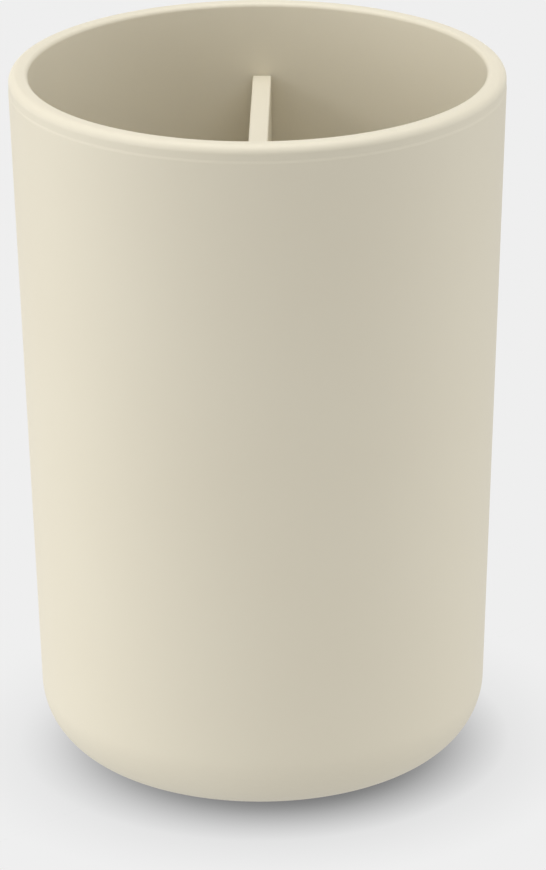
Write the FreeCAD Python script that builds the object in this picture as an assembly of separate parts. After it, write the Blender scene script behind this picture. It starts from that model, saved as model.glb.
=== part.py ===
import FreeCAD, Part
import math
import os

from FreeCAD import Vector

# Toothbrush tumbler: a moulded cup, a divider that lifts out of it, and a non-slip ring under its base.
# Millimetres, +Z up. The origin is on the cup's axis, in the plane that the ring stands on.
# The divider lies in the YZ plane, so that it parts the cup into a left and a right half.

# Cup, outside
rim_diameter = 75.0         # where the line of the wall meets the plane of the rim
base_diameter = 68.5        # where the line of the wall meets the plane of the base
cup_height = 109.0          # from the plane of the base to the plane of the rim
base_round = 10.7           # between the wall and the base
rim_outer_round = 1.3
rim_inner_round = 0.7

# Cup, inside
wall = 3.0                  # measured square to the wall
floor_thickness = 3.0

# Gate well: the dimple under the base that keeps the stub of the moulding gate off the table
gate_diameter = 6.0
gate_depth = 0.6

# Non-slip ring, let into a groove in the base
ring_width = 5.0
ring_thickness = 1.5
ring_proud = 0.5            # how far it stands out below the base
ring_margin = 1.6           # from the edge of the flat base to the groove
ring_edge_round = 0.35
ring_side_gap = 0.1         # from the ring to each side of its groove

# Divider
divider_thickness = 2.95
divider_drop = 11.5         # from the plane of the rim down to the divider's top edge
divider_side_gap = 0.3      # from each end of the divider to the wall
divider_top_corner = 0.5
divider_edge_round = 0.3

# Guide ribs, which hold the divider upright: a pair on the front wall and a pair on the back
guide_width = 1.4
guide_depth = 1.6           # how far a rib stands in from the wall
guide_height = 56.0         # above the cup's floor
guide_lead_in = 5.0         # height of the slope at the top of a rib
guide_edge_round = 0.4
guide_gap = 0.2             # from each face of the divider to the rib beside it

# Worked out from the sizes above
base_z = ring_proud
rim_z = base_z + cup_height
floor_z = base_z + floor_thickness
draft = math.atan((rim_diameter - base_diameter) / 2 / cup_height)
floor_round = base_round - wall
divider_corner = floor_round + divider_side_gap
divider_top_z = rim_z - divider_drop
axis_point = Vector(0, 0, 0)
axis_direction = Vector(0, 0, 1)


def outer_radius(z):
    # Radius of the line of the outer wall at height z.
    return base_diameter / 2 + (z - base_z) * math.tan(draft)


def inner_radius(z):
    # Radius of the line of the inner wall at height z.
    return outer_radius(z) - wall / math.cos(draft)


# The base is flat as far as its round reaches in, and the ring's groove is set in from there.
round_centre_radius = outer_radius(base_z + base_round) - base_round / math.cos(draft)
groove_outer_radius = round_centre_radius - ring_margin
groove_inner_radius = groove_outer_radius - ring_width - 2 * ring_side_gap


def rounded_outline(corners, place):
    # Closed wire through corners (a, b, radius). A tangent arc of that radius turns the corner, and at
    # radius 0 it is sharp. place(a, b) gives the point in space.
    turns = []
    for i, (a, b, radius) in enumerate(corners):
        corner = Vector(a, b, 0)
        before = (Vector(*corners[i - 1][:2], 0) - corner).normalize()
        after = (Vector(*corners[(i + 1) % len(corners)][:2], 0) - corner).normalize()
        if radius == 0:
            turns.append([corner])
            continue
        half_angle = before.getAngle(after) / 2
        reach = radius / math.tan(half_angle)
        middle = (before + after).normalize() * (radius / math.sin(half_angle) - radius)
        turns.append([corner + before * reach, corner + middle, corner + after * reach])
    edges = []
    for i, turn in enumerate(turns):
        points = [place(p.x, p.y) for p in turn]
        following = turns[(i + 1) % len(turns)][0]
        if len(points) == 3:
            edges.append(Part.Arc(*points).toShape())
        edges.append(Part.LineSegment(points[-1], place(following.x, following.y)).toShape())
    return Part.Wire(edges)


def turned(corners):
    # Solid of revolution about the cup's axis, from corners (radius, height, corner radius).
    outline = rounded_outline(corners, lambda r, z: Vector(r, 0, z))
    return Part.Face(outline).revolve(axis_point, axis_direction, 360)


def upright_plate(corners, x_from, thickness):
    # Plate square to X, from corners (y, z, corner radius) of its outline.
    outline = rounded_outline(corners, lambda y, z: Vector(x_from, y, z))
    return Part.Face(outline).extrude(Vector(thickness, 0, 0))


def edges_across_x(plate):
    # The edges of a plate that follow its outline, on either face of it.
    return [e for e in plate.Edges if abs(e.tangentAt(e.FirstParameter).x) < 0.5]


def cup_shell():
    # One turned profile: gate well, ring groove, base round, drafted wall, rim, inner wall and floor.
    groove_z = ring_thickness
    return turned([
        (0, base_z + gate_depth, 0),
        (gate_diameter / 2, base_z + gate_depth, 0),
        (gate_diameter / 2, base_z, 0),
        (groove_inner_radius, base_z, 0),
        (groove_inner_radius, groove_z, 0),
        (groove_outer_radius, groove_z, 0),
        (groove_outer_radius, base_z, 0),
        (outer_radius(base_z), base_z, base_round),
        (outer_radius(rim_z), rim_z, rim_outer_round),
        (inner_radius(rim_z), rim_z, rim_inner_round),
        (inner_radius(floor_z), floor_z, floor_round),
        (0, floor_z, 0),
    ])


def hollow_grown(by):
    # The cup's hollow made larger on every side, so that a rib cut to it ends inside the wall.
    low = floor_z - by
    return turned([
        (0, low, 0),
        (inner_radius(low) + by, low, floor_round + by),
        (inner_radius(rim_z) + by, rim_z, 0),
        (0, rim_z, 0),
    ])


def guide_rib():
    # The rib on the back wall, beside the divider's right face. Its inner edge follows the wall's draft,
    # and slopes back into the wall at the top, to lead the divider in. Its foot runs out in the floor round.
    buried = wall / 3
    top = floor_z + guide_height
    slope_foot = top - guide_lead_in
    low = floor_z - buried
    rib = upright_plate([
        (inner_radius(low) - guide_depth, low, 0),
        (inner_radius(low) + buried, low, 0),
        (inner_radius(top) + buried, top, 0),
        (inner_radius(top), top, 0),
        (inner_radius(slope_foot) - guide_depth, slope_foot, 0),
    ], divider_thickness / 2 + guide_gap, guide_width)
    proud_edges = [e for e in edges_across_x(rib)
                   if all(v.Y < inner_radius(v.Z) + buried / 2 for v in e.Vertexes)]
    return rib.makeFillet(guide_edge_round, proud_edges).common(hollow_grown(buried))


def cup_body():
    rib = guide_rib()
    pair = [rib, rib.mirror(axis_point, Vector(1, 0, 0))]
    ribs = pair + [r.mirror(axis_point, Vector(0, 1, 0)) for r in pair]
    return cup_shell().fuse(ribs).removeSplitter()


def divider():
    # Follows the inner wall down to the floor, on which it stands, and is rounded along every edge.
    half_low = inner_radius(floor_z) - divider_side_gap
    half_top = inner_radius(divider_top_z) - divider_side_gap
    plate = upright_plate([
        (-half_low, floor_z, divider_corner),
        (half_low, floor_z, divider_corner),
        (half_top, divider_top_z, divider_top_corner),
        (-half_top, divider_top_z, divider_top_corner),
    ], -divider_thickness / 2, divider_thickness)
    return plate.makeFillet(divider_edge_round, edges_across_x(plate))


def non_slip_ring():
    inner = groove_inner_radius + ring_side_gap
    outer = groove_outer_radius - ring_side_gap
    return turned([
        (inner, 0, ring_edge_round),
        (outer, 0, ring_edge_round),
        (outer, ring_thickness, 0),
        (inner, ring_thickness, 0),
    ])


def write_parts():
    os.makedirs("parts", exist_ok=True)
    for make in (cup_body, divider, non_slip_ring):
        shape = make()
        box = shape.optimalBoundingBox()
        print(f"{make.__name__}: {len(shape.Solids)} solid, valid {shape.isValid()}, {shape.Volume:.0f} mm3,"
              f" {box.XLength:.2f} x {box.YLength:.2f} x {box.ZLength:.2f} mm from z {box.ZMin:.2f}")
        shape.exportStep(f"parts/{make.__name__}.step")


write_parts()
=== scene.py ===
import math

import bpy
import numpy as np
from mathutils import Matrix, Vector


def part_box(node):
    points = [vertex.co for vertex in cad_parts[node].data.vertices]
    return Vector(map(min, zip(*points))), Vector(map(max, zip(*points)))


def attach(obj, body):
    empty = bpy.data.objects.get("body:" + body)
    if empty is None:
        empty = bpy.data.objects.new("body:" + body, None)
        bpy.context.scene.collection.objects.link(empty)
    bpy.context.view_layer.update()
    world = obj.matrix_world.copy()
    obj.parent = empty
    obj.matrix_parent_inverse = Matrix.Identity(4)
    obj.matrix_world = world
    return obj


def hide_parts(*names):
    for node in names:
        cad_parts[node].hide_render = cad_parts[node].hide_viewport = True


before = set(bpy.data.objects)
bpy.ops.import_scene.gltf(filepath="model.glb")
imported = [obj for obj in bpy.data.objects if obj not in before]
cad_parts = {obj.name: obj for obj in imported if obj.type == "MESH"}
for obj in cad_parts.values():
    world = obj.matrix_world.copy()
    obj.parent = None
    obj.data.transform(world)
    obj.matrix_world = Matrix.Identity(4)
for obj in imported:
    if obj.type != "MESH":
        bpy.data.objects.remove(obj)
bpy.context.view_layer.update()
mm = 0.001  # the scene is in metres, and the sizes in the dictionaries below are in millimetres
print("frame: nodes", ", ".join(sorted(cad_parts)))


# Helpers for meshes

def unit(vector):
    return vector / np.linalg.norm(vector)


def smoothStep(share):
    # Three times the square less twice the cube: it rises from 0 to 1 and is level at both ends.
    share = np.clip(share, 0, 1)
    return share * share * (3 - 2 * share)


def roundedPath(corners, stepDegrees):
    # A line through corners (a, b, radius). A tangent arc turns each corner between the ends. Its
    # centre is on the corner's bisector, radius / sin(half angle) away, and it spans 180 degrees
    # less the corner's angle.
    points = [np.array([corners[0][:2]])]
    for first, second, third in zip(corners, corners[1:], corners[2:]):
        corner, radius = np.array(second[:2]), second[2]
        if radius == 0:
            points.append(corner[None])
            continue
        before = unit(np.array(first[:2]) - corner)
        after = unit(np.array(third[:2]) - corner)
        half = math.acos(np.clip(before @ after, -1, 1)) / 2
        centre = corner + unit(before + after) * radius / math.sin(half)
        start = corner + before * radius / math.tan(half) - centre
        across = np.array([-start[1], start[0]])
        sweep = (math.pi - 2 * half) * np.sign(before[1] * after[0] - before[0] * after[1])
        steps = max(2, math.ceil(abs(math.degrees(sweep)) / stepDegrees))
        angle = np.linspace(0, sweep, steps + 1)[:, None]
        points.append(centre + np.cos(angle) * start + np.sin(angle) * across)
    points.append(np.array([corners[-1][:2]]))
    return np.vstack(points)


def fineSteps(path, longest):
    # Divides every stretch of a line evenly, into as many steps as keep each under the longest.
    span = np.diff(path, axis=0)
    count = np.ceil(np.linalg.norm(span, axis=1) / longest).astype(int)
    count = np.maximum(count, 1)
    stretch = np.repeat(np.arange(len(count)), count)
    firstStep = np.repeat(np.cumsum(count) - count, count)
    share = (np.arange(count.sum()) - firstStep) / np.repeat(count, count)
    return np.vstack([path[stretch] + share[:, None] * span[stretch], path[-1:]])


def gridFaces(rows, columns, closedRows=False):
    # Quads of a grid whose columns close on themselves. Vertex (row, column) is number
    # row * columns + column.
    row = np.arange(rows if closedRows else rows - 1)[:, None]
    column = np.arange(columns)
    here = row * columns
    nextRow = (row + 1) % rows * columns
    nextColumn = (column + 1) % columns
    corners = [here + column, here + nextColumn, nextRow + nextColumn, nextRow + column]
    return np.stack(np.broadcast_arrays(*corners), axis=-1).reshape(-1, 4).tolist()


def poleFaces(pole, ringOfVertices, flip):
    # A fan of triangles from one vertex to a closed ring of vertices.
    following = np.roll(ringOfVertices, -1)
    pair = (following, ringOfVertices) if flip else (ringOfVertices, following)
    return np.stack([np.full(len(following), pole), *pair], axis=-1).tolist()


sharpDegrees = 35   # an edge that turns more than this stays crisp


def makePiece(name, points, faces, material, body, node):
    mesh = bpy.data.meshes.new(name)
    mesh.from_pydata((points * mm).tolist(), [], faces)
    mesh.shade_smooth()
    mesh.set_sharp_from_angle(angle=math.radians(sharpDegrees))
    mesh.materials.append(material)
    piece = bpy.data.objects.new(name, mesh)
    bpy.context.scene.collection.objects.link(piece)
    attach(piece, body)
    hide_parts(node)
    print(f"{name}: {len(mesh.vertices)} vertices, {len(mesh.polygons)} faces, rides on {body}")


# Helpers for materials

def toLinear(hexColour):
    # sRGB to linear: the low end is a straight line, the rest a power of 2.4.
    share = np.array([int(hexColour[i:i + 2], 16) for i in (1, 3, 5)]) / 255
    linear = np.where(share <= 0.04045, share / 12.92, ((share + 0.055) / 1.055) ** 2.4)
    return (*linear.tolist(), 1.0)


def addNode(tree, kind, settings=None, **inputs):
    # Adds a node, sets its properties, and gives each input a value or a link from another node's
    # output. An input goes by its name, with _ for a space, or by its number, such as input6.
    node = tree.nodes.new(kind)
    for name, value in (settings or {}).items():
        setattr(node, name, value)
    for name, value in inputs.items():
        key = int(name[len("input"):]) if name.startswith("input") else name.replace("_", " ")
        if isinstance(value, bpy.types.NodeSocket):
            tree.links.new(value, node.inputs[key])
        else:
            node.inputs[key].default_value = value
    return node


def newMaterial(name):
    material = bpy.data.materials.new(name)
    material.use_nodes = True
    material.node_tree.nodes.clear()
    return material, material.node_tree


# Materials

plasticFinish = {
    "colour": "#E3DCC8",        # cream beige, dyed through
    "flowColour": "#E0D8C3",    # where the melt ran cooler
    "flowSize": 28.0,           # mm across a patch of it
    "flowDetail": 3.0,
    "grainSize": 0.32,          # mm: spark-eroded grain is about 0.15, drawn coarser so it shows
    "grainFineness": 0.6,       # how much of the finer grain is in it
    "grainDepth": 0.004,        # mm
    "roughness": (0.46, 0.56),
    "ior": 1.49,
}


def mouldedPolypropylene():
    # Polypropylene moulded against a finely spark-eroded steel: an even matt beige, a soft broad
    # sheen, and a grain that only shows close up.
    finish = plasticFinish
    material, tree = newMaterial("moulded polypropylene, matt")
    place = addNode(tree, "ShaderNodeTexCoord").outputs["Object"]
    grain = addNode(tree, "ShaderNodeTexNoise", Vector=place,
                    Scale=1 / (finish["grainSize"] * mm), Roughness=finish["grainFineness"])
    flow = addNode(tree, "ShaderNodeTexNoise", Vector=place,
                   Scale=1 / (finish["flowSize"] * mm), Detail=finish["flowDetail"])
    colour = addNode(tree, "ShaderNodeMix", {"data_type": "RGBA"}, Factor=flow.outputs["Fac"],
                     input6=toLinear(finish["colour"]), input7=toLinear(finish["flowColour"]))
    smoothest, roughest = finish["roughness"]
    roughness = addNode(tree, "ShaderNodeMapRange", Value=grain.outputs["Fac"],
                        To_Min=smoothest, To_Max=roughest)
    bump = addNode(tree, "ShaderNodeBump", Height=grain.outputs["Fac"],
                   Distance=finish["grainDepth"] * mm)
    shader = addNode(tree, "ShaderNodeBsdfPrincipled", Base_Color=colour.outputs[2],
                     Roughness=roughness.outputs["Result"], IOR=finish["ior"],
                     Normal=bump.outputs["Normal"])
    addNode(tree, "ShaderNodeOutputMaterial", Surface=shader.outputs["BSDF"])
    return material


elastomerFinish = {
    "colour": "#B9B2A3",
    "bloomColour": "#C3BDB0",   # the paler bloom that a soft elastomer gets
    "bloomSize": 6.0,           # mm across a patch of it
    "grainSize": 0.25,          # mm
    "grainDepth": 0.01,         # mm
    "roughness": 0.8,
    "ior": 1.5,
}


def mouldedElastomer():
    # Thermoplastic elastomer moulded in a blasted tool: dull, slightly uneven, with no clear
    # highlight.
    finish = elastomerFinish
    material, tree = newMaterial("moulded thermoplastic elastomer")
    place = addNode(tree, "ShaderNodeTexCoord").outputs["Object"]
    grain = addNode(tree, "ShaderNodeTexNoise", Vector=place, Scale=1 / (finish["grainSize"] * mm))
    bloom = addNode(tree, "ShaderNodeTexNoise", Vector=place, Scale=1 / (finish["bloomSize"] * mm))
    colour = addNode(tree, "ShaderNodeMix", {"data_type": "RGBA"}, Factor=bloom.outputs["Fac"],
                     input6=toLinear(finish["colour"]), input7=toLinear(finish["bloomColour"]))
    bump = addNode(tree, "ShaderNodeBump", Height=grain.outputs["Fac"],
                   Distance=finish["grainDepth"] * mm)
    shader = addNode(tree, "ShaderNodeBsdfPrincipled", Base_Color=colour.outputs[2],
                     Roughness=finish["roughness"], IOR=finish["ior"],
                     Normal=bump.outputs["Normal"])
    addNode(tree, "ShaderNodeOutputMaterial", Surface=shader.outputs["BSDF"])
    return material


plastic = mouldedPolypropylene()
elastomer = mouldedElastomer()
print("materials:", plastic.name, "and", elastomer.name)


# Sizes: the pieces' dictionaries stand together, because the cup's groove follows the ring and its
# guide ribs follow the divider. An arcStep is the degrees of a round between two grid lines.

cup = {
    "rimDiameter": 75.0,
    "baseDiameter": 68.5,
    "wall": 3.0,
    "floorThickness": 3.0,
    "baseRound": 10.7,
    "rimOuterRound": 1.3,
    "rimInnerRound": 0.7,
    "edgeRound": 0.15,          # on the small edges under the base
    "splitDrop": 2.45,          # the mould's split line, below the rim: a fine ledge all round
    "splitHeight": 0.4,
    "splitStep": 0.07,          # the wall above the line stands this much further in
    "splitRound": 0.8,
    "gateDiameter": 6.0,
    "gateDepth": 0.6,
    "stubDiameter": 1.8,        # what is left of the moulding gate, inside its well
    "stubHeight": 0.3,
    "longestStep": 2.5,         # between two grid rows
    "arcStep": 3.0,
    "sideLines": 100,           # grid lines up the left side, and as many up the right
}
guide = {
    "width": 1.4,
    "depth": 1.6,
    "height": 56.0,             # above the floor
    "leadIn": 5.0,              # height of the slope at a rib's top
    "edgeRound": 0.4,
    "gap": 0.2,                 # to each face of the divider
    "flankDraft": 0.03,
    "arcStep": 22.5,
    "zone": 6.0,                # the ribs set the grid lines this far to each side of the divider
    "linesBeside": 2,           # grid lines between the zone's middle and a rib
    "linesBeyond": 4,           # from a rib to the end of the zone
    "spread": 1.5,              # over 1, those get further apart outwards
}
ring = {
    "width": 5.0,
    "margin": 1.6,              # flat base between the groove and the base round
    "sideGap": 0.1,
    "edgeRound": 0.35,
    "longestStep": 1.0,
    "arcStep": 10.0,
    "lines": 192,               # grid lines all round
}
divider = {
    "thickness": 2.95,
    "sideGap": 0.3,
    "topCorner": 0.5,
    "edgeRound": 0.3,
    "edgePoints": 7,            # across each rounded edge
    "support": 0.15,            # a flat strip beside those; with edgeRound, less than topCorner
    "arcStep": 4.0,
}

cupLow, cupHigh = (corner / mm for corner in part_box("cup_body"))
ringLow, ringHigh = (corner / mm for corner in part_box("non_slip_ring"))
dividerLow, dividerHigh = (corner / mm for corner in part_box("divider"))
baseZ, rimZ = cupLow.z, cupHigh.z
floorZ = baseZ + cup["floorThickness"]
floorRound = cup["baseRound"] - cup["wall"]
ribTop = floorZ + guide["height"]
slope = (cup["rimDiameter"] - cup["baseDiameter"]) / 2 / (rimZ - baseZ)
acrossWall = math.hypot(1, slope)   # a level cut through the wall is thicker by this factor


def outerRadius(z):
    # A straight line from the base's radius to the rim's.
    return cup["baseDiameter"] / 2 + (z - baseZ) * slope


def innerRadius(z):
    return outerRadius(z) - cup["wall"] * acrossWall


rimMiddle = (outerRadius(rimZ) + innerRadius(rimZ)) / 2
flatRadius = outerRadius(baseZ + cup["baseRound"]) - cup["baseRound"] * acrossWall
grooveOuter = flatRadius - ring["margin"]
grooveInner = grooveOuter - ring["width"] - 2 * ring["sideGap"]


# Cup: one surface turned about Z, from the middle of the base, over the rim, to that of the floor

def outsideProfile():
    # (radius, height) from the gate stub on the axis to the middle of the rim.
    wellZ = baseZ + cup["gateDepth"]
    stubZ = wellZ - cup["stubHeight"]
    stub, well, edge = cup["stubDiameter"] / 2, cup["gateDiameter"] / 2, cup["edgeRound"]
    splitTop = rimZ - cup["splitDrop"] + cup["splitHeight"] / 2
    splitFoot = splitTop - cup["splitHeight"]
    return roundedPath([
        (0, stubZ, 0),
        (stub, stubZ, edge),
        (stub, wellZ, 0),
        (well, wellZ, 0),
        (well, baseZ, edge),
        (grooveInner, baseZ, edge),
        (grooveInner, ringHigh.z, 0),
        (grooveOuter, ringHigh.z, 0),
        (grooveOuter, baseZ, edge),
        (outerRadius(baseZ), baseZ, cup["baseRound"]),
        (outerRadius(splitFoot), splitFoot, cup["splitRound"]),
        (outerRadius(splitTop) - cup["splitStep"], splitTop, cup["splitRound"]),
        (outerRadius(rimZ) - cup["splitStep"], rimZ, cup["rimOuterRound"]),
        (rimMiddle, rimZ, 0),
    ], cup["arcStep"])


def insideProfile():
    # (radius, height) from the middle of the rim, down the wall and its round, to the axis. The
    # wall has a point at the top of the guide ribs and one at the foot of their slope.
    slopeFoot = ribTop - guide["leadIn"]
    return roundedPath([
        (rimMiddle, rimZ, 0),
        (innerRadius(rimZ), rimZ, cup["rimInnerRound"]),
        (innerRadius(ribTop), ribTop, 0),
        (innerRadius(slopeFoot), slopeFoot, 0),
        (innerRadius(floorZ), floorZ, floorRound),
        (0, floorZ, 0),
    ], cup["arcStep"])


def ribSection():
    # (x, depth) across both ribs at one end of the divider. The right half is bare wall, the rib's
    # rounded section and bare wall again, and the left half mirrors it.
    near = divider["thickness"] / 2 + guide["gap"]
    far = near + guide["width"]
    section = roundedPath([
        (near - guide["flankDraft"], 0, 0),
        (near, guide["depth"], guide["edgeRound"]),
        (far, guide["depth"], guide["edgeRound"]),
        (far + guide["flankDraft"], 0, 0),
    ], guide["arcStep"])
    beside = np.linspace(0, near, guide["linesBeside"] + 2)[1:-1]
    outwards = np.linspace(0, 1, guide["linesBeyond"] + 1)[1:]
    beyond = far + (guide["zone"] - far) * outwards ** guide["spread"]
    x = np.concatenate([beside, section[:, 0], beyond])
    depth = np.concatenate([0 * beside, section[:, 1], 0 * beyond])
    return np.concatenate([-x[::-1], [0], x]), np.concatenate([depth[::-1], [0], depth])


def cupSurface():
    # Row s of the grid is a point (r, z) of the profile, and column j a line up the wall. On the
    # outside the lines are evenly spaced. Down the inner wall they drift to the places that the
    # ribs need, where line j keeps its own x. On a rib's lines the wall's y is moved in by the
    # rib's depth, which fades out along the slope at its top.
    outside = fineSteps(outsideProfile(), cup["longestStep"])
    inside = fineSteps(insideProfile(), cup["longestStep"])[1:]
    profile = np.vstack([outside, inside])[1:-1]
    r, z = profile[:, :1], profile[:, 1:]
    isInside = (np.arange(len(profile)) >= len(outside) - 1)[:, None]

    lineX, lineDepth = ribSection()
    sides = np.linspace(0, 1, cup["sideLines"] + 2)[1:-1]
    lines = 2 * (len(lineX) + len(sides))
    even = math.pi / 2 + 2 * math.pi * (np.arange(lines) - len(lineX) // 2) / lines
    zoneAngle = np.arcsin(np.clip(guide["zone"] / r, -1, 1))
    backAngle = np.arccos(np.clip(lineX[::-1] / r, -1, 1))
    leftAngle = math.pi / 2 + zoneAngle + sides * (math.pi - 2 * zoneAngle)
    fitted = np.hstack([backAngle, leftAngle, backAngle + math.pi, leftAngle + math.pi])
    depth = np.concatenate([lineDepth, 0 * sides, lineDepth, 0 * sides])

    # The drift is whole from the ribs' top down. On the floor it dies out towards the axis, between
    # three zones and two from it.
    downTheWall = smoothStep((rimZ - z) / (rimZ - ribTop))
    outFromTheAxis = smoothStep((r - 2 * guide["zone"]) / guide["zone"])
    angle = even + np.where(isInside, downTheWall * outFromTheAxis, 0) * (fitted - even)
    x, y = r * np.cos(angle), r * np.sin(angle)
    faded = depth * np.clip((ribTop - z) / guide["leadIn"], 0, 1)
    ribFace = np.sqrt(np.maximum(innerRadius(z) ** 2 - x ** 2, 0)) - faded
    y = np.where(isInside & (faded > 0), np.sign(y) * np.minimum(abs(y), ribFace), y)

    points = np.stack([x, y, np.broadcast_to(z, x.shape)], axis=-1).reshape(-1, 3)
    poles = np.array([[0, 0, outside[0, 1]], [0, 0, floorZ]])
    firstRing = np.arange(lines)
    lastRing = firstRing + lines * (len(profile) - 1)
    faces = gridFaces(len(profile), lines)
    faces += poleFaces(len(points), firstRing, True)
    faces += poleFaces(len(points) + 1, lastRing, False)
    return np.vstack([points, poles]), faces


makePiece("cupBody", *cupSurface(), plastic, "cup", "cup_body")


# Divider: a plate whose outline follows the inner wall, rounded along every edge

def dividerSurface():
    # Column u is a point of the outline, up the right side and down the left. Row v goes across the
    # edge, as (x, inset): flat strip, quarter circle, flat edge, quarter circle, flat strip. A
    # point is the outline moved in along its normal by the inset. Each face is a ladder of quads
    # between the right and left sides.
    halfLow = innerRadius(dividerLow.z) - divider["sideGap"]
    halfTop = innerRadius(dividerHigh.z) - divider["sideGap"]
    right = roundedPath([
        (0, dividerLow.z, 0),
        (halfLow, dividerLow.z, floorRound + divider["sideGap"]),
        (halfTop, dividerHigh.z, divider["topCorner"]),
        (0, dividerHigh.z, 0),
    ], divider["arcStep"])
    tangent = np.gradient(right, axis=0)
    tangent[[1, -2]] = [[1, 0], [-1, 0]]    # the arcs start and end level, at foot and top
    tangent /= np.linalg.norm(tangent, axis=1)[:, None]
    normal = np.stack([tangent[:, 1], -tangent[:, 0]], axis=-1)[1:-1]
    right = right[1:-1]

    edge, half = divider["edgeRound"], divider["thickness"] / 2
    arc = np.linspace(0, math.pi / 2, divider["edgePoints"])
    x = np.concatenate([[half], half - edge + edge * np.cos(arc)])
    x = np.concatenate([-x, x[::-1]])
    inset = np.concatenate([[edge + divider["support"]], edge - edge * np.sin(arc)])
    inset = np.concatenate([inset, inset[::-1]])

    side = right - inset[:, None, None] * normal
    y = np.hstack([side[..., 0], -side[:, ::-1, 0]])
    z = np.hstack([side[..., 1], side[:, ::-1, 1]])
    points = np.stack([np.broadcast_to(x[:, None], y.shape), y, z], axis=-1).reshape(-1, 3)
    rows, columns = y.shape
    low = np.arange(len(right) - 1)
    ladder = np.stack([low, low + 1, columns - 2 - low, columns - 1 - low], axis=-1)
    leftFace = ladder[:, ::-1]
    rightFace = ladder + (rows - 1) * columns
    return points, gridFaces(rows, columns) + leftFace.tolist() + rightFace.tolist()


makePiece("dividerPlate", *dividerSurface(), plastic, "divider", "divider")


# Non-slip ring: a closed section turned about Z

def ringSurface():
    # Row s is a point (r, z) of the closed section, and column j an even angle.
    inner = grooveInner + ring["sideGap"]
    outer = grooveOuter - ring["sideGap"]
    middle = (inner + outer) / 2
    section = roundedPath([
        (middle, ringLow.z, 0),
        (outer, ringLow.z, ring["edgeRound"]),
        (outer, ringHigh.z, cup["edgeRound"]),
        (inner, ringHigh.z, cup["edgeRound"]),
        (inner, ringLow.z, ring["edgeRound"]),
        (middle, ringLow.z, 0),
    ], ring["arcStep"])
    section = fineSteps(section, ring["longestStep"])[:-1]
    angle = np.linspace(0, 2 * math.pi, ring["lines"], endpoint=False)
    r, z = section[:, :1], section[:, 1:]
    grid = np.broadcast_arrays(r * np.cos(angle), r * np.sin(angle), z)
    points = np.stack(grid, axis=-1).reshape(-1, 3)
    return points, gridFaces(len(section), ring["lines"], closedRows=True)


makePiece("nonSlipRing", *ringSurface(), elastomer, "cup", "non_slip_ring")


# Stage: pale floor, soft lamps, and the camera at the photograph's viewing angle. Azimuth 0 is the
# camera's side, and 90 the right.

stage = {
    "floorSize": 12000.0,
    "floorDrop": 0.1,               # keeps the floor clear of the ring, which stands on it
    "background": "#EFEFEF",
    "shadowSamples": 64,
    "tableGlow": 0.65,              # painted light: the floor's glow that stands in for light the table gives back, where 1 is white
    "tableReach": (300.0, 800.0),   # from the axis: glow even up to the first, gone at the second
    "glowDepth": 1.5,               # a ray straight off the object has depth 1, after that 2
    "skyStrength": 0.485,
}
paintedShadows = {
    # name: painted contact shadow: (reach, azimuth and elevation of the light that it seems to fall
    # away from, power); no lamp stands there. What is further off than the reach doesn't darken a
    # point of the floor. Under a power of 1, the painted shade lightens, as if light came in below
    # the object's foot.
    "closeShadow": (8.0, -140, 60, 0.263),
    "wideShadow": (20.0, -153, 72, 0.221),
}
lamps = {
    # name: (azimuth, elevation, angular width, strength)
    "overhead": (0, 89.9, 20, 0.57),    # at 90 it would have no sideways axis
    "highLeft": (-90, 60, 40, 0.82),
    "highRight": (90, 60, 40, 0.56),
    "highFront": (20, 40, 40, 0.22),
    "lowLeft": (-60, 5, 50, 1.14),
    "lowRight": (90, 5, 50, 0.46),
}
softboxes = {
    # name: (azimuth, distance, width, height, brightness where 1 is white); they stand on the floor
    "leftSoftbox": (-90, 400.0, 600.0, 120.0, 2.04),
    "rightSoftbox": (90, 400.0, 600.0, 120.0, 1.16),
    "backSoftbox": (180, 400.0, 600.0, 120.0, 1.0),
}
camera = {
    "distance": 781.1,          # to the middle of the cup
    "azimuth": 1.25,
    "elevation": 21.07,
    "yaw": 0.14,                # with pitch: from the middle of the cup to that of the picture
    "pitch": -0.31,
    "roll": -0.51,
    "focalPixels": 5072.0,
    "pictureHeight": 870,       # pixels, the picture's long side
    "sensor": 36.0,             # along that side
}


def directionFrom(azimuth, elevation):
    # The unit vector to a place on a globe round the object.
    a, e = math.radians(azimuth), math.radians(elevation)
    return np.array([math.sin(a) * math.cos(e), -math.cos(a) * math.cos(e), math.sin(e)])


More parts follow.
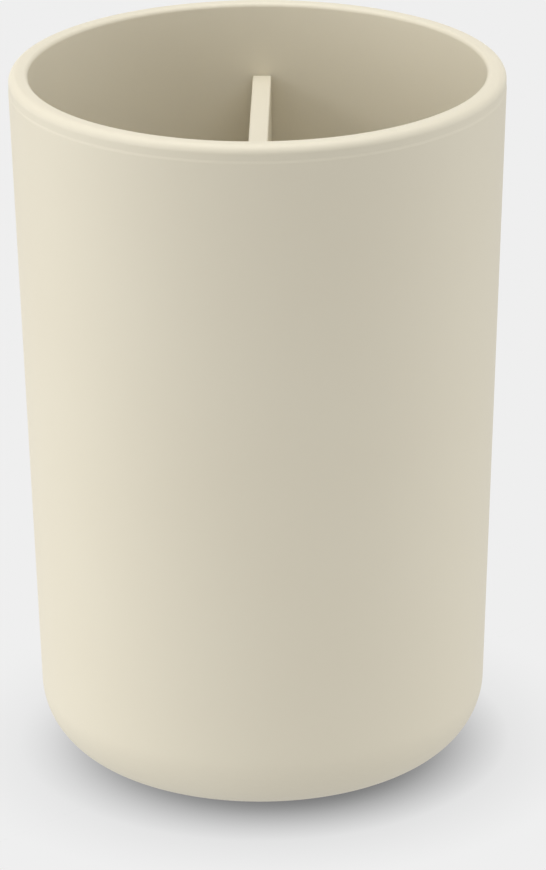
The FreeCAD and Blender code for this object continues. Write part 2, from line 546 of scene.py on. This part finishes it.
def makeFloor():
    # The camera sees the plain background with the object's contact shadows painted into its glow:
    # for each painted shadow, the share of open sky above a point, raised to a power, and then their
    # product dim the background, with no lamp casting them. The object sees a table top that glows,
    # painted light in place of what a lit table gives back, which fades out further off and which
    # only rays straight off the object reach. From below, the floor is open.
    half, level = stage["floorSize"] * mm / 2, -stage["floorDrop"] * mm
    corners = [(-half, -half, level), (half, -half, level), (half, half, level), (-half, half, level)]
    mesh = bpy.data.meshes.new("floor")
    mesh.from_pydata(corners, [], [(0, 1, 2, 3)])
    material, tree = newMaterial("matt table top")

    # Painted shade: ambient occlusion dims the floor's emission; it is not a shadow cast by a lamp.
    shade = 1.0
    for reach, azimuth, elevation, power in paintedShadows.values():
        x, y, z = directionFrom(azimuth, elevation)
        lean = addNode(tree, "ShaderNodeCombineXYZ", X=x, Y=y, Z=z)
        openShare = addNode(tree, "ShaderNodeAmbientOcclusion", {"samples": stage["shadowSamples"]},
                            Distance=reach * mm, Normal=lean.outputs["Vector"])
        oneShade = addNode(tree, "ShaderNodeMath", {"operation": "POWER"},
                           input0=openShare.outputs["AO"], input1=power)
        product = addNode(tree, "ShaderNodeMath", {"operation": "MULTIPLY"},
                          input0=shade, input1=oneShade.outputs["Value"])
        shade = product.outputs["Value"]
    seen = addNode(tree, "ShaderNodeEmission", Color=toLinear(stage["background"]), Strength=shade)

    # Painted light: the floor's own emission lights the object from below, in place of light a table
    # would give back.
    place = addNode(tree, "ShaderNodeTexCoord").outputs["Object"]
    fromAxis = addNode(tree, "ShaderNodeVectorMath", {"operation": "LENGTH"}, input0=place)
    even, gone = stage["tableReach"]
    fade = addNode(tree, "ShaderNodeMapRange", {"interpolation_type": "SMOOTHSTEP"},
                   Value=fromAxis.outputs["Value"], From_Min=even * mm, From_Max=gone * mm,
                   To_Min=stage["tableGlow"], To_Max=0.0)
    path = addNode(tree, "ShaderNodeLightPath")
    firstBounce = addNode(tree, "ShaderNodeMath", {"operation": "LESS_THAN"},
                          input0=path.outputs["Ray Depth"], input1=stage["glowDepth"])
    strength = addNode(tree, "ShaderNodeMath", {"operation": "MULTIPLY"},
                       input0=firstBounce.outputs["Value"], input1=fade.outputs["Result"])
    glow = addNode(tree, "ShaderNodeEmission", Strength=strength.outputs["Value"])
    mix = addNode(tree, "ShaderNodeMixShader", Fac=path.outputs["Is Camera Ray"],
                  input1=glow.outputs["Emission"], input2=seen.outputs["Emission"])
    geometry = addNode(tree, "ShaderNodeNewGeometry")
    fromBelow = addNode(tree, "ShaderNodeBsdfTransparent")
    surface = addNode(tree, "ShaderNodeMixShader", Fac=geometry.outputs["Backfacing"],
                      input1=mix.outputs["Shader"], input2=fromBelow.outputs["BSDF"])
    addNode(tree, "ShaderNodeOutputMaterial", Surface=surface.outputs["Shader"])
    material.cycles.emission_sampling = "NONE"
    mesh.materials.append(material)
    floor = bpy.data.objects.new("floor", mesh)
    bpy.context.scene.collection.objects.link(floor)


def makeSky():
    # An even sky lights the object, and camera rays that miss the floor see the background.
    world = bpy.data.worlds.new("studio")
    world.use_nodes = True
    tree = world.node_tree
    tree.nodes.clear()
    sky = addNode(tree, "ShaderNodeBackground", Color=(1, 1, 1, 1), Strength=stage["skyStrength"])
    seen = addNode(tree, "ShaderNodeBackground", Color=toLinear(stage["background"]))
    path = addNode(tree, "ShaderNodeLightPath")
    mix = addNode(tree, "ShaderNodeMixShader", Fac=path.outputs["Is Camera Ray"],
                  input1=sky.outputs["Background"], input2=seen.outputs["Background"])
    addNode(tree, "ShaderNodeOutputWorld", Surface=mix.outputs["Shader"])
    bpy.context.scene.world = world


def placed(right, up, back, at=(0, 0, 0)):
    # A matrix whose columns are the object's own axes and its place.
    columns = np.stack([right, up, back, at], axis=1)
    return Matrix(np.vstack([columns, [0, 0, 0, 1]]).tolist())


def lookingFrom(back):
    # The axes of a lamp or camera that stands on this side and faces the middle, with its right
    # side level.
    right = unit(np.cross([0, 0, 1], back))
    return right, np.cross(back, right), back


def makeLamp(name, azimuth, elevation, width, strength):
    data = bpy.data.lights.new(name, "SUN")
    data.angle = math.radians(width)
    data.energy = strength
    lamp = bpy.data.objects.new(name, data)
    lamp.matrix_world = placed(*lookingFrom(directionFrom(azimuth, elevation)))
    bpy.context.scene.collection.objects.link(lamp)


def makeSoftbox(name, azimuth, distance, width, height, brightness):
    # A matt sheet of light: its power is pi times its brightness and its area.
    data = bpy.data.lights.new(name, "AREA")
    data.shape = "RECTANGLE"
    data.size, data.size_y = width * mm, height * mm
    data.energy = math.pi * brightness * data.size * data.size_y
    box = bpy.data.objects.new(name, data)
    back = directionFrom(azimuth, 0)
    at = back * distance + np.array([0, 0, height / 2])
    box.matrix_world = placed(*lookingFrom(back), at * mm)
    bpy.context.scene.collection.objects.link(box)


def makeCamera():
    # The camera stands off the middle of the cup and looks at it. It is then turned by yaw and
    # pitch, and rolled.
    right, up, back = lookingFrom(directionFrom(camera["azimuth"], camera["elevation"]))
    place = np.array([0, 0, (baseZ + rimZ) / 2]) + back * camera["distance"]
    yaw, pitch, roll = (math.radians(camera[name]) for name in ("yaw", "pitch", "roll"))
    level = right * math.sin(yaw) - back * math.cos(yaw)
    ahead = level * math.cos(pitch) + up * math.sin(pitch)
    right = unit(np.cross(ahead, up))
    up = np.cross(right, ahead)
    rolledRight = right * math.cos(roll) + up * math.sin(roll)
    rolledUp = up * math.cos(roll) - right * math.sin(roll)
    data = bpy.data.cameras.new("camera")
    data.sensor_width = camera["sensor"]
    data.lens = camera["focalPixels"] * camera["sensor"] / camera["pictureHeight"]
    viewer = bpy.data.objects.new("camera", data)
    viewer.matrix_world = placed(rolledRight, rolledUp, -ahead, place * mm)
    bpy.context.scene.collection.objects.link(viewer)
    bpy.context.scene.camera = viewer


makeFloor()
makeSky()
for lampName, lampValues in lamps.items():
    makeLamp(lampName, *lampValues)
for boxName, boxValues in softboxes.items():
    makeSoftbox(boxName, *boxValues)
makeCamera()
bpy.context.scene.view_settings.view_transform = "Standard"
print("stage: floor, sky,", len(lamps), "lamps,", len(softboxes), "softboxes and the camera")
